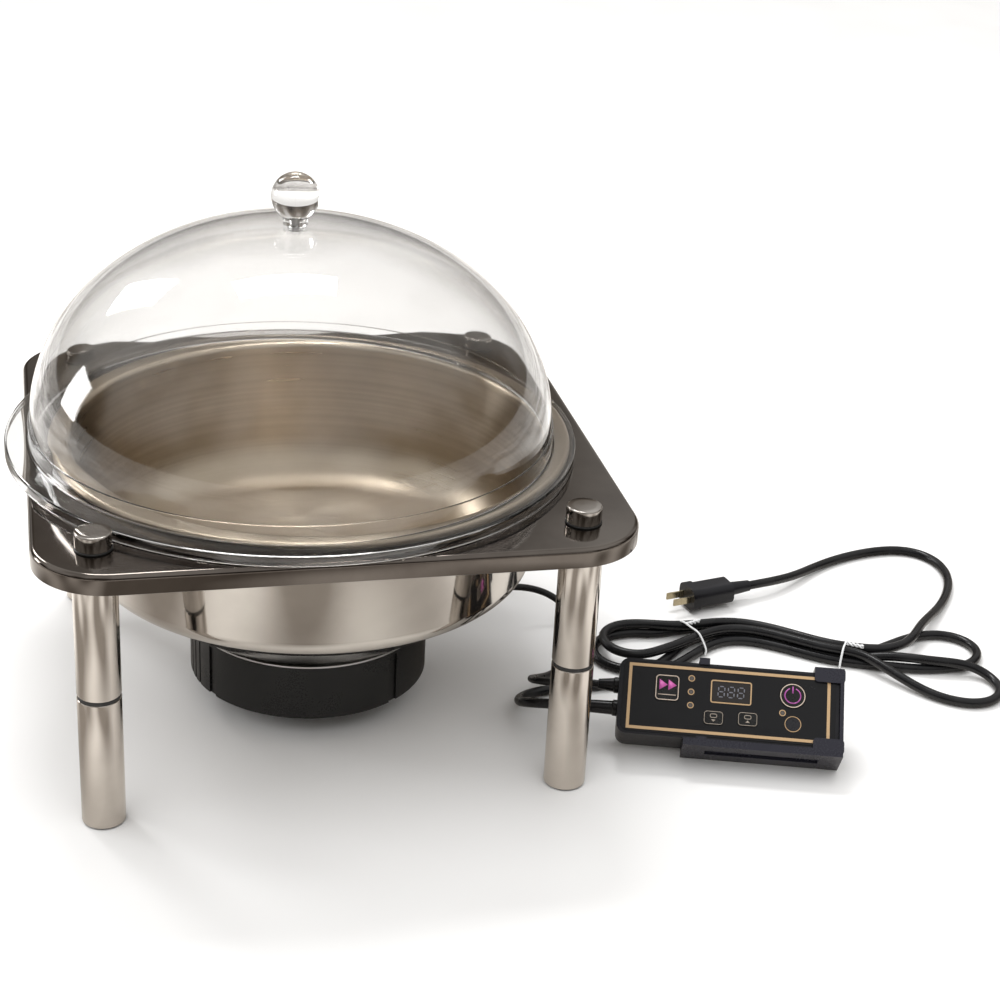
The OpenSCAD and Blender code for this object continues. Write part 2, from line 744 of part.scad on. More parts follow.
module plug_body() {
    color([0.03, 0.03, 0.03]) at_plug() {
        turned_x([[0, 0], [cord_d / 2 + 1, 0], [cord_d / 2 + 2.5, 22], [0, 22]]);
        translate([22, 0, 0]) rotate([90, 0, 90]) slab(25, 19, 7, 0, 34);
        translate([56, 0, 0]) rotate([90, 0, 90]) slab(27, 21, 7, 0, 8);
    }
}

module plug_blades() {
    color([0.8, 0.7, 0.4]) at_plug() for (y = [-1, 1])
        translate([64, y * blade_gap / 2 - 0.75, -3.2]) cube([blade_len, 1.5, 6.4]);
}

plate_frame();
leg_mount_pads();
leg_upper(LEGS[0]);  // leg_upper_fl
leg_upper(LEGS[1]);  // leg_upper_fr
leg_upper(LEGS[2]);  // leg_upper_rl
leg_upper(LEGS[3]);  // leg_upper_rr
leg_lower(LEGS[0]);  // leg_lower_fl
leg_lower(LEGS[1]);  // leg_lower_fr
leg_lower(LEGS[2]);  // leg_lower_rl
leg_lower(LEGS[3]);  // leg_lower_rr
leg_end_plugs();
leg_joint_rings();
leg_studs();
leg_caps();
cap_washers();
foot_pads();
water_pan();
food_pan();
lid_dome();
lid_knob();
lid_knob_screw();
heater_shell();
heater_top_plate();
heater_element();
heater_insulation();
heater_thermostat();
heater_terminals();
heater_screws();
heater_clamp();
heater_gland();
heater_lead();
case_front();
case_back();
face_overlay();
face_frame();
display_window();
display_digits();
display_module();
circuit_board();
power_transformer();
power_relay();
key_switches();
status_leds();
light_sensor();
case_screws();
lead_strain_relief();
mains_strain_relief();
key(KEYS[0]);  // function_button
key(KEYS[1]);  // down_button
key(KEYS[2]);  // up_button
power_button();
box_holder();
mains_cord_in();
mains_cord_hank();
mains_cord_out();
mains_cord_tie();
plug_body();
plug_blades();
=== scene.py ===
import math

import bmesh
import bpy
from mathutils import Matrix, Vector

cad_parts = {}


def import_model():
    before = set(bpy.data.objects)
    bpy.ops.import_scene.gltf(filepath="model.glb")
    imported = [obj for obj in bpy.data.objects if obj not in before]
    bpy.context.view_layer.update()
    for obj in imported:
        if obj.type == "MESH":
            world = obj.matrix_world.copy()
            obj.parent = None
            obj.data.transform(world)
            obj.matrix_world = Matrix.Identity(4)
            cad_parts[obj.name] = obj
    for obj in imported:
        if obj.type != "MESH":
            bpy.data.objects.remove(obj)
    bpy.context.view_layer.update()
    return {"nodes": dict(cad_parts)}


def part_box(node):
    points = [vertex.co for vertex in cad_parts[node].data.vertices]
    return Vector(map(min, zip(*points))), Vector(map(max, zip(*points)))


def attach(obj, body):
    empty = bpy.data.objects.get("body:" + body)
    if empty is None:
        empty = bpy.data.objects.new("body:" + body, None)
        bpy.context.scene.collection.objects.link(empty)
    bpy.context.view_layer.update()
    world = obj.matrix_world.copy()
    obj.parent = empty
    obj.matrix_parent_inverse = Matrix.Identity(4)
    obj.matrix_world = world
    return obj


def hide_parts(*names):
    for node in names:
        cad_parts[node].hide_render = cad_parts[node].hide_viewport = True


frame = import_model()
MM = 0.001

# ---- sizes, in millimetres, from the CAD nodes ----------------------------------------------


def node_box(name):
    lo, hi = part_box(name)
    return [c * 1000 for c in lo], [c * 1000 for c in hi]


PLATE_LO, PLATE_HI = node_box("plate_frame")
PLATE_TOP = PLATE_HI[2]
PLATE_HALF = PLATE_HI[0]
CORNER = 54.0           # outer radius of the plate's corners
EDGE = 4.0              # radius of its rolled edge
SHEET = 1.5
LEG_R = 15.9
LEG_AT = 173.5
JOINT_Z = 104.0         # top of the lower leg tubes
JOINT_T = 3.0           # the black ring between the leg tubes
HOLE_R = 187.5
CAP_R, CAP_H = 13.0, 12.0
WASHER_T = 1.5
PAN_WALL = 1.2
DOME_R, DOME_H = 198.6, 150.0
DOME_WALL = 3.0
DOME_RING = 23.0        # height of the dome's widest ring over the plate
SCREW_R = 3.1           # hole through the dome and knob
KNOB_R = 18.0
LEAD_D, MAINS_D, TIE_D = 6, 8, 1.8
KEY_TOP = 1.2           # height of the keys over the box's face
DISPLAY_AT = (1.6, 8.6)
DOME_LO, DOME_HI = node_box("lid_dome")
LID_AT = ((DOME_LO[0] + DOME_HI[0]) / 2, (DOME_LO[1] + DOME_HI[1]) / 2)
BOX_TILT = math.radians(40)
BOX_YAW = math.radians(-17)
FACE_AT = (307.0, -158.0, 31 * math.sin(BOX_TILT) + 28 * math.cos(BOX_TILT) + 6.5)
BOX = Matrix.Translation(FACE_AT) @ Matrix.Rotation(BOX_YAW, 4, "Z") @ Matrix.Rotation(BOX_TILT, 4, "X")
BOX_END = -86.0
CORD_DEPTH = -19.0


def box_point(u, v, n):
    return tuple(BOX @ Vector((u, v, n)))


# ---- camera ----------------------------------------------------------------------------------


def add_camera():
    data = bpy.data.cameras.new("camera")
    data.lens = 72.76
    data.sensor_width = 36
    cam = bpy.data.objects.new("camera", data)
    bpy.context.collection.objects.link(cam)
    right = Vector((0.97422, -0.21983, 0.05072))
    up = Vector((0.05001, 0.42965, 0.90161))
    turn = Matrix((right, up, right.cross(up))).transposed().to_4x4()
    cam.matrix_world = Matrix.Translation((-0.205, -1.430, 0.858)) @ turn
    bpy.context.scene.camera = cam


add_camera()

# ---- materials -------------------------------------------------------------------------------


class Nodes:
    """A material's node tree, with short calls for the nodes that the finishes share."""

    def __init__(self, name, **sockets):
        self.mat = bpy.data.materials.new(name)
        self.mat.use_nodes = True
        self.tree = self.mat.node_tree
        self.shader = self.tree.nodes["Principled BSDF"]
        for socket, value in sockets.items():
            self.shader.inputs[socket.replace("_", " ")].default_value = value
        self.place = self.add("ShaderNodeTexCoord").outputs["Object"]

    def add(self, kind, **settings):
        node = self.tree.nodes.new(kind)
        for key, value in settings.items():
            setattr(node, key, value)
        return node

    def link(self, a, b):
        self.tree.links.new(a, b)

    def stretched(self, x, y, z):
        node = self.add("ShaderNodeMapping")
        node.inputs["Scale"].default_value = (x, y, z)
        self.link(self.place, node.inputs["Vector"])
        return node.outputs["Vector"]

    def noise(self, scale, detail=3.0, rough=0.5, at=None):
        node = self.add("ShaderNodeTexNoise")
        node.inputs["Scale"].default_value = scale
        node.inputs["Detail"].default_value = detail
        node.inputs["Roughness"].default_value = rough
        self.link(at or self.place, node.inputs["Vector"])
        return node.outputs["Fac"]

    def ramp(self, value, low, high, a=0.35, b=0.65):
        node = self.add("ShaderNodeMapRange")
        node.inputs["From Min"].default_value = a
        node.inputs["From Max"].default_value = b
        node.inputs["To Min"].default_value = low
        node.inputs["To Max"].default_value = high
        self.link(value, node.inputs["Value"])
        return node.outputs["Result"]

    def math(self, how, a, b):
        node = self.add("ShaderNodeMath", operation=how)
        for i, v in enumerate((a, b)):
            if isinstance(v, (int, float)):
                node.inputs[i].default_value = v
            else:
                self.link(v, node.inputs[i])
        return node.outputs[0]

    def mix(self, value, low, high):
        node = self.add("ShaderNodeMix", data_type="RGBA")
        self.link(value, node.inputs["Factor"])
        node.inputs[6].default_value = (*low, 1)
        node.inputs[7].default_value = (*high, 1)
        self.link(node.outputs[2], self.shader.inputs["Base Color"])

    def roughness(self, value):
        self.link(value, self.shader.inputs["Roughness"])

    def bump(self, height, strength, distance=0.0002):
        node = self.add("ShaderNodeBump")
        node.inputs["Strength"].default_value = strength
        node.inputs["Distance"].default_value = distance
        self.link(height, node.inputs["Height"])
        self.link(node.outputs["Normal"], self.shader.inputs["Normal"])

    def edge_wear(self):
        """0 on flat faces, up to 1 along worn edges."""
        node = self.add("ShaderNodeNewGeometry")
        return self.ramp(node.outputs["Pointiness"], 0, 1, 0.52, 0.6)


def polished(name, dark, light, low=0.04, high=0.12, wave=0.06):
    """Mirror steel: cleaning smears in the roughness, faint waves and hairline scratches."""
    n = Nodes(name, Metallic=1.0)
    smear = n.noise(9, 5, 0.6)
    scratch = n.noise(60, 2, 0.5, n.stretched(1, 9, 1))
    n.mix(n.ramp(smear, 0, 1), dark, light)
    n.roughness(n.math("ADD", n.ramp(smear, low, high), n.ramp(scratch, 0, 0.02, 0.6, 0.75)))
    n.bump(n.math("ADD", n.noise(7, 1), n.math("MULTIPLY", scratch, 0.02)), wave, 0.001)
    return n.mat


def turned_steel(name, dark, light, low=0.16, high=0.3):
    """Spun steel: fine rings about the vertical axis, which draw its highlights out across them."""
    n = Nodes(name, Metallic=1.0, Anisotropic=0.75, Anisotropic_Rotation=0.25)
    n.link(n.add("ShaderNodeTangent", direction_type="RADIAL", axis="Z").outputs[0], n.shader.inputs["Tangent"])
    flat = n.add("ShaderNodeVectorMath", operation="MULTIPLY")
    flat.inputs[1].default_value = (1, 1, 0)
    n.link(n.place, flat.inputs[0])
    reach = n.add("ShaderNodeVectorMath", operation="LENGTH")
    n.link(flat.outputs["Vector"], reach.inputs[0])
    ring = n.add("ShaderNodeCombineXYZ")
    n.link(n.math("MULTIPLY", reach.outputs["Value"], 1500), ring.inputs["X"])
    lines = n.noise(1, 3, 0.6, ring.outputs["Vector"])
    cloud = n.noise(14, 4)
    n.mix(n.ramp(n.math("MULTIPLY", lines, cloud), 0, 1, 0.1, 0.4), dark, light)
    n.roughness(n.ramp(n.math("ADD", lines, cloud), low, high, 0.7, 1.3))
    n.bump(lines, 0.12, 0.00005)
    return n.mat


def moulded(name, dark, light, low=0.35, high=0.55, grain=0.25, size=900, shine=0.5):
    """Moulded plastic or rubber: fine texture, handling shine and paler worn edges."""
    n = Nodes(name, Specular_IOR_Level=shine)
    spark = n.noise(size, 2)
    cloud = n.noise(22, 4)
    n.mix(n.math("ADD", n.ramp(cloud, 0, 0.6), n.edge_wear()), dark, light)
    n.roughness(n.math("ADD", n.ramp(cloud, low, high), n.ramp(spark, -0.04, 0.04)))
    n.bump(spark, grain, 0.00012)
    return n.mat


def clear(name, tint, rough=0.015, ior=1.49):
    """Clear moulded plastic, faintly tinted, with wiping smears."""
    n = Nodes(name, Transmission_Weight=1.0, IOR=ior)
    smear = n.noise(8, 5, 0.6)
    n.mix(n.ramp(smear, 0, 1), tint, [min(1, c * 1.01) for c in tint])
    n.roughness(n.ramp(smear, rough, rough * 2.5))
    n.bump(n.noise(5, 1), 0.03, 0.001)
    return n.mat


def rubber_sheath(name):
    """Round black sheath: soft shine with tiny die lines and dust."""
    n = Nodes(name, Specular_IOR_Level=0.3)
    dust = n.noise(45, 5)
    fine = n.noise(1200, 2)
    n.mix(n.ramp(dust, 0, 1), (0.004, 0.004, 0.005), (0.011, 0.011, 0.012))
    n.roughness(n.ramp(dust, 0.2, 0.36))
    n.bump(fine, 0.12, 0.00008)
    return n.mat


PLATE = polished("plate_mirror", (0.105, 0.09, 0.08), (0.16, 0.142, 0.127), 0.03, 0.1)
LEG = polished("leg_mirror", (0.50, 0.465, 0.425), (0.62, 0.58, 0.54), 0.05, 0.13)
CAP = polished("cap_mirror", (0.27, 0.25, 0.23), (0.40, 0.375, 0.35), 0.05, 0.12)
BOWL = polished("bowl_mirror", (0.50, 0.47, 0.44), (0.62, 0.59, 0.55), 0.04, 0.12, 0.05)
PAN = turned_steel("pan_spun", (0.54, 0.46, 0.36), (0.76, 0.67, 0.55), 0.26, 0.42)
PLATED = turned_steel("plated_steel", (0.42, 0.42, 0.42), (0.6, 0.6, 0.6), 0.25, 0.4)
RING = moulded("black_rings", (0.008, 0.008, 0.008), (0.03, 0.03, 0.03), 0.4, 0.6)
LID = clear("clear_lid", (0.868, 0.862, 0.854))
SHELL = moulded("heater_black", (0.003, 0.003, 0.003), (0.010, 0.010, 0.010), 0.24, 0.4, 0.3, shine=0.25)
CASE = moulded("case_black", (0.004, 0.004, 0.006), (0.012, 0.012, 0.015), 0.26, 0.42, 0.3, 1400, 0.28)
HOLDER = moulded("holder_black", (0.007, 0.007, 0.011), (0.020, 0.020, 0.028), 0.2, 0.34, 0.2, 700, 0.22)
FACE = moulded("face_gloss", (0.0025, 0.0025, 0.003), (0.007, 0.007, 0.008), 0.14, 0.24, 0.05, 500, 0.22)
KEY = moulded("key_black", (0.003, 0.003, 0.003), (0.010, 0.010, 0.010), 0.22, 0.34, 0.12, 900, 0.25)
GOLD = moulded("gold_line", (0.30, 0.185, 0.085), (0.44, 0.29, 0.15), 0.3, 0.42, 0.1)
PALE = moulded("pale_line", (0.40, 0.31, 0.24), (0.56, 0.46, 0.38), 0.35, 0.5, 0.1)
GREY = moulded("grey_line", (0.2, 0.165, 0.13), (0.34, 0.29, 0.24), 0.35, 0.5, 0.1)
PINK = moulded("magenta_mark", (0.42, 0.05, 0.28), (0.56, 0.11, 0.38), 0.3, 0.45, 0.1)
PLUM = moulded("plum_mark", (0.28, 0.05, 0.24), (0.42, 0.09, 0.36), 0.3, 0.45, 0.1)
WINDOW = moulded("smoked_window", (0.008, 0.007, 0.007), (0.018, 0.015, 0.014), 0.1, 0.18, 0.03, 400, 0.3)
DIGIT = moulded("unlit_segments", (0.085, 0.09, 0.11), (0.15, 0.155, 0.185), 0.3, 0.45, 0.1)
LENS = moulded("lamp_lens", (0.03, 0.028, 0.026), (0.08, 0.07, 0.065), 0.2, 0.3, 0.05)
CORD = rubber_sheath("cord_sheath")
TIE = moulded("white_tie", (0.72, 0.73, 0.74), (0.86, 0.87, 0.88), 0.35, 0.5, 0.3, 1200)
BRASS = turned_steel("plug_blade", (0.5, 0.43, 0.28), (0.68, 0.6, 0.42), 0.2, 0.35)
HEAT = turned_steel("heat_plate", (0.5, 0.5, 0.5), (0.66, 0.66, 0.66), 0.25, 0.4)
FIBRE = moulded("fibre_board", (0.62, 0.6, 0.54), (0.8, 0.78, 0.72), 0.8, 0.95, 0.8, 500)
CERAMIC = moulded("ceramic", (0.66, 0.63, 0.57), (0.82, 0.79, 0.73), 0.35, 0.5, 0.15)
BOARD = moulded("board_green", (0.008, 0.05, 0.02), (0.02, 0.09, 0.04), 0.3, 0.42, 0.1, 600)
CORE = moulded("core_paint", (0.05, 0.05, 0.055), (0.1, 0.1, 0.11), 0.4, 0.6, 0.3)

# ---- mesh helpers ------------------------------------------------------------------------------


def shown(name, mesh_or_curve, body, material, stands_for=()):
    """Adds a visible piece on a body and hides the CAD nodes it stands for."""
    obj = bpy.data.objects.new(name, mesh_or_curve)
    bpy.context.collection.objects.link(obj)
    mesh_or_curve.materials.append(material)
    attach(obj, body)
    if stands_for:
        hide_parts(*stands_for)
    return obj


def mesh_from(bm, name):
    bmesh.ops.recalc_face_normals(bm, faces=bm.faces)
    mesh = bpy.data.meshes.new(name)
    bm.to_mesh(mesh)
    bm.free()
    for face in mesh.polygons:
        face.use_smooth = True
    return mesh


def sharpen(mesh, angle=30):
    mesh.set_sharp_from_angle(angle=math.radians(angle))
    return mesh


def lofted(bm, loops):
    """Faces between neighbouring loops of points in millimetres, the last joined to the first."""
    rings = [[bm.verts.new(Vector(p) * MM) for p in loop] for loop in loops]
    for a, b in zip(rings, rings[1:] + rings[:1]):
        count = len(a)
        for i in range(count):
            j = (i + 1) % count
            bm.faces.new((a[i], a[j], b[j], b[i]))


def lathe(bm, profile, at=(0, 0), steps=128):
    """Closed profile of [radius, height] spun about the vertical line at `at`."""
    loops = []
    for r, z in profile:
        r = max(r, 0.02)
        loops.append([
            (at[0] + r * math.cos(2 * math.pi * k / steps), at[1] + r * math.sin(2 * math.pi * k / steps), z)
            for k in range(steps)])
    lofted(bm, loops)


def arc(x, y, r, a, b, n):
    step = math.radians(b - a) / n
    return [(x + r * math.cos(math.radians(a) + step * i), y + r * math.sin(math.radians(a) + step * i))
            for i in range(n + 1)]


def leg_places():
    return [("fl", -LEG_AT, -LEG_AT), ("fr", LEG_AT, -LEG_AT), ("rl", -LEG_AT, LEG_AT),
            ("rr", LEG_AT, LEG_AT)]


# ---- tray frame and legs -----------------------------------------------------------------------


def rounded_outline(half_w, half_h, r, z, per_corner=14, per_side=6):
    """Loop of points round a rectangle with rounded corners."""
    pts = []
    for cx, cy, a in ((1, -1, -90), (1, 1, 0), (-1, 1, 90), (-1, -1, 180)):
        x, y = cx * (half_w - r), cy * (half_h - r)
        pts += [(px, py, z) for px, py in arc(x, y, r, a, a + 90, per_corner)]
        nx, ny = {(1, -1): (1, 1), (1, 1): (-1, 1), (-1, 1): (-1, -1), (-1, -1): (1, -1)}[(cx, cy)]
        end = pts[-1]
        a_next = math.radians(a + 90)
        start = (nx * (half_w - r) + r * math.cos(a_next), ny * (half_h - r) + r * math.sin(a_next), z)
        for k in range(1, per_side):
            t = k / per_side
            pts.append((end[0] + (start[0] - end[0]) * t, end[1] + (start[1] - end[1]) * t, z))
    return pts


def plate():
    """The tray's sheet: a round hole, a flat top, a rolled edge and a skirt turned down."""
    bm = bmesh.new()
    skirt_z = PLATE_LO[2]

    def outline(inset, z):
        return rounded_outline(PLATE_HALF - inset, PLATE_HALF - inset, CORNER - inset, z)

    outer = [outline(EDGE - EDGE * math.sin(a), PLATE_TOP - EDGE + EDGE * math.cos(a))
             for a in [math.radians(t) for t in range(0, 91, 15)]]
    inner_r = EDGE - SHEET
    inner = [outline(EDGE - inner_r * math.sin(a), PLATE_TOP - EDGE + inner_r * math.cos(a))
             for a in [math.radians(t) for t in range(90, -1, -15)]]
    rim = outline(0, 0)
    angles = [math.atan2(y, x) for x, y, _ in rim]

    def hole(r, z):
        return [(r * math.cos(a), r * math.sin(a), z) for a in angles]

    loops = [hole(HOLE_R, PLATE_TOP - 0.4), hole(HOLE_R + 0.4, PLATE_TOP)] + outer
    loops += [outline(0, skirt_z + 0.3), outline(0.3, skirt_z), outline(SHEET - 0.3, skirt_z),
              outline(SHEET, skirt_z + 0.3)]
    loops += inner + [hole(HOLE_R, PLATE_TOP - SHEET)]
    lofted(bm, loops)
    shown("plate_sheet", sharpen(mesh_from(bm, "plate_sheet")), "base", PLATE, ["plate_frame"])


def tube_profile(z0, z1, r_out, r_in, soft=0.6):
    return (arc(r_out - soft, z0 + soft, soft, -90, 0, 3) + arc(r_out - soft, z1 - soft, soft, 0, 90, 3)
            + [(r_in, z1), (r_in, z0)])


def legs():
    for where, x, y in leg_places():
        for part, z0, z1 in (("lower", 1.0, JOINT_Z), ("upper", JOINT_Z + JOINT_T, PLATE_TOP - SHEET - 3)):
            bm = bmesh.new()
            lathe(bm, tube_profile(z0, z1, LEG_R, LEG_R - 1.5), (x, y), 64)
            name = f"leg_{part}_{where}"
            shown(name + "_tube", sharpen(mesh_from(bm, name)), "base", LEG, [name])


def caps():
    """Polished cap nuts: a slightly domed top with a turned edge."""
    z = PLATE_TOP + WASHER_T
    top = z + CAP_H
    bm = bmesh.new()
    for _, x, y in leg_places():
        profile = [(0, z), (CAP_R - 0.4, z)] + arc(CAP_R - 0.4, z + 0.4, 0.4, -90, 0, 3)
        profile += arc(CAP_R - 1.2, top - 1.4, 1.2, 0, 80, 6) + [(8, top - 0.05), (0, top)]
        lathe(bm, profile, (x, y), 64)
    shown("cap_nuts", sharpen(mesh_from(bm, "cap_nuts")), "base", CAP, ["leg_caps"])


def washers():
    """The black washers under the caps, rings at the leg joints and pads under the feet."""
    bolt_r = 4.2
    bm = bmesh.new()
    for _, x, y in leg_places():
        lathe(bm, arc(CAP_R, PLATE_TOP + 0.5, 0.5, -90, 0, 3)
              + arc(CAP_R, PLATE_TOP + WASHER_T - 0.5, 0.5, 0, 90, 3)
              + [(bolt_r, PLATE_TOP + WASHER_T), (bolt_r, PLATE_TOP)], (x, y), 64)
        lathe(bm, arc(LEG_R - 1, JOINT_Z + 0.5, 0.5, -90, 0, 3)
              + arc(LEG_R - 1, JOINT_Z + JOINT_T - 0.5, 0.5, 0, 90, 3)
              + [(bolt_r, JOINT_Z + JOINT_T), (bolt_r, JOINT_Z)], (x, y), 64)
        lathe(bm, [(0, 0)] + arc(13.9, 1.2, 1.2, -90, -10, 3) + [(14.2, 1.4), (14.2, 9), (0, 9)], (x, y), 64)
    shown("black_rings", sharpen(mesh_from(bm, "black_rings")), "base", RING,
          ["cap_washers", "leg_joint_rings", "foot_pads"])


plate()
legs()
caps()
washers()

# ---- pans ------------------------------------------------------------------------------------


def water_pan():
    floor_z = 68
    screw_r = 3.2

    def line(s):
        return [(HOLE_R - 1 - s, PLATE_TOP)] + arc(161, 136, 16 - s, 0, -54.5, 20) + [(93, floor_z + s)]

    bm = bmesh.new()
    lathe(bm, [(193, PLATE_TOP + PAN_WALL), (193, PLATE_TOP)] + line(0)
          + [(screw_r, floor_z), (screw_r, floor_z + PAN_WALL)] + line(PAN_WALL)[::-1]
          + [(HOLE_R - 1 - PAN_WALL, PLATE_TOP + PAN_WALL)], steps=192)
    shown("water_bowl", sharpen(mesh_from(bm, "water_bowl"), 40), "base", BOWL, ["water_pan"])


def food_pan():
    """Straight-sided pan with a rounded foot, its rim rolled over into a bead."""
    rim_z = PLATE_TOP + 6.3
    floor_z = 112

    def line(s):
        return arc(188, rim_z - 5, 5 - s, 90, 180, 8) + arc(132.8, 152, 40 + s, 0, -90, 24)
    bead = arc(197.5, rim_z - 3, 3, 90, -200, 20)
    bm = bmesh.new()
    lathe(bm, line(0) + [(0, floor_z), (0, floor_z - PAN_WALL)] + line(PAN_WALL)[::-1]
          + [(195, rim_z - PAN_WALL)] + bead[::-1], steps=192)
    shown("food_bowl", sharpen(mesh_from(bm, "food_bowl"), 40), "food_pan", PAN, ["food_pan"])


water_pan()
food_pan()

# ---- lid -------------------------------------------------------------------------------------


def ellipse(rx, ry, y, n):
    return [(rx * math.cos(math.pi / 2 * i / n), y + ry * math.sin(math.pi / 2 * i / n)) for i in range(n + 1)]


def lid():
    """Clear dome: a flange on the pan's rim, a shoulder, and half an ellipse up to the knob."""
    seat = PLATE_TOP + 6.6
    top = seat + 2.6
    ring_z = PLATE_TOP + DOME_RING
    flange = (DOME_HI[0] - DOME_LO[0]) / 2
    low = DOME_LO[2]
    outer = ellipse(DOME_R, DOME_H, ring_z, 40)
    inner = ellipse(DOME_R - DOME_WALL, DOME_H - DOME_WALL, ring_z, 40)
    profile = [(flange - 0.3, low)] + [(flange, low + 0.3)] + arc(flange - 1.3, top - 1.3, 1.3, 0, 90, 5)
    profile += arc(202, top + 2, 2, -90, -180, 5) + arc(199, ring_z - 1, 1, 0, 90, 4)
    profile += outer[1:-1] + [(SCREW_R, ring_z + DOME_H), (SCREW_R, ring_z + DOME_H - DOME_WALL)]
    profile += inner[-2:0:-1]
    profile += arc(198.0, seat + 2.4, 2.4, 180, 270, 5) + [(flange - 2.2, seat), (flange - 2.2, low + 0.2),
                                                           (flange - 1.9, low)]
    bm = bmesh.new()
    lathe(bm, profile, LID_AT, 192)
    shown("clear_dome", sharpen(mesh_from(bm, "clear_dome"), 35), "lid", LID, ["lid_dome"])


def knob():
    base = PLATE_TOP + DOME_RING + DOME_H
    centre = base + 3 + KNOB_R
    neck_r = KNOB_R / 2
    screw_top = base + 10
    ball = arc(0, centre, KNOB_R, -55, 89.9, 40)
    bm = bmesh.new()
    lathe(bm, [(SCREW_R, base), (neck_r, base), (neck_r, base + 4)] + ball
          + [(0, centre + KNOB_R), (0, screw_top), (SCREW_R, screw_top)], LID_AT, 96)
    shown("ball_knob", sharpen(mesh_from(bm, "ball_knob"), 50), "lid", LID, ["lid_knob"])


lid()
knob()

# ---- cords -----------------------------------------------------------------------------------


def smooth_path(points, steps):
    """Catmull-Rom curve through the points."""
    out = []
    for i in range(len(points) - 1):
        a, b, c, d = (Vector(points[max(0, min(len(points) - 1, i + k))]) for k in (-1, 0, 1, 2))
        for s in range(steps):
            t = s / steps
            out.append(0.5 * (2 * b + (c - a) * t + (2 * a - 5 * b + 4 * c - d) * t * t
                              + (3 * b - a - 3 * c + d) * t * t * t))
    out.append(Vector(points[-1]))
    return out


def relaxed(path, keep, rounds):
    """Evens out a path's bends, its ends held."""
    for _ in range(rounds):
        path = path[:keep] + [p * 0.5 + (path[i - 1] + path[i + 1]) * 0.25 for i, p in enumerate(path)
                              if keep <= i < len(path) - keep] + path[-keep:]
    return path


def add_strand(data, path):
    spline = data.splines.new("POLY")
    spline.points.add(len(path) - 1)
    for point, p in zip(spline.points, path):
        point.co = (*(Vector(p) * MM), 1)
    spline.use_smooth = True


def cord_curve(name, path, diameter, sides=6):
    """Round strand of the given diameter along a path in millimetres."""
    data = bpy.data.curves.new(name, "CURVE")
    data.dimensions = "3D"
    data.bevel_depth = diameter / 2 * MM
    data.bevel_resolution = sides
    data.use_fill_caps = True
    add_strand(data, path)
    return data


GLAND = math.radians(20)


def gland_point(r):
    return (r * math.cos(GLAND), r * math.sin(GLAND), 44.0)


LEAD_ROUTE = [
    gland_point(120.3), gland_point(132.3), (147, 55, 43), (175, 67, 40), (200, 76, 34), (221, 77, 26),
    (235, 69, 17), (241, 54, 9), (241, 37, 5), (235, 20, 3.3), (226, 5, 3.3), (215, -9, 3.3),
    (204, -22, 4.5), (193, -35, 9.5), (183, -47, 16), (175, -59, 23), (170, -71, 30), (171, -83, 35.5),
    (178, -93.5, 39.5), (188.5, -99.9, 41.6),
    box_point(BOX_END - 26, 14, CORD_DEPTH), box_point(BOX_END - 16, 14, CORD_DEPTH)]
MAINS_IN = [
    box_point(BOX_END - 24, -5, CORD_DEPTH), box_point(BOX_END - 34, -5, CORD_DEPTH), (178, -108, 28),
    (164.5, -96, 23), (159, -80, 15), (164, -63.5, 8), (178, -51.5, 5), (202, -47, 4.2), (232, -47, 4.2),
    (264, -45, 4.2), (294, -34, 4.2)]
PLUG_TURN = math.radians(12)
PLUG_AT = (413.0, 91.0, 13.0)
MAINS_OUT = [
    (490, -35, 12.4), (509, -32, 12.4), (526, -20, 12.4), (542, 1, 12.4), (562, 23, 8.5), (584, 48, 4.2),
    (603, 75, 4.2), (615, 103, 4.2), (616, 131, 4.2), (604, 151, 4.2), (583, 160, 4.2), (552, 157, 4.2),
    (520, 147, 4.2), (492, 132, 5), (468, 114, 8), (446, 101, 11.5),
    (413 + 16 * math.cos(PLUG_TURN), 91 + 16 * math.sin(PLUG_TURN), 13), PLUG_AT]
# Middle line of the tied bundle: x, y and how far its passes spread there.
MIDLINE = [(312, 8, 3.0), (340, 19, 2.0), (368, 25, 1.5), (396, 16, 1.2), (422, -4, 1.0), (445, -23, 1.0),
           (470, -34, 1.0)]


def hank_pass(side, z, back=False):
    """One pass of the cord through the tied bundle, `side` millimetres off its middle line."""
    out = []
    for i, (x, y, spread) in enumerate(MIDLINE):
        before = MIDLINE[max(i - 1, 0)]
        after = MIDLINE[min(i + 1, len(MIDLINE) - 1)]
        way = Vector((after[0] - before[0], after[1] - before[1], 0)).normalized()
        out.append((x - way.y * side * spread, y + way.x * side * spread, z))
    return out[::-1] if back else out


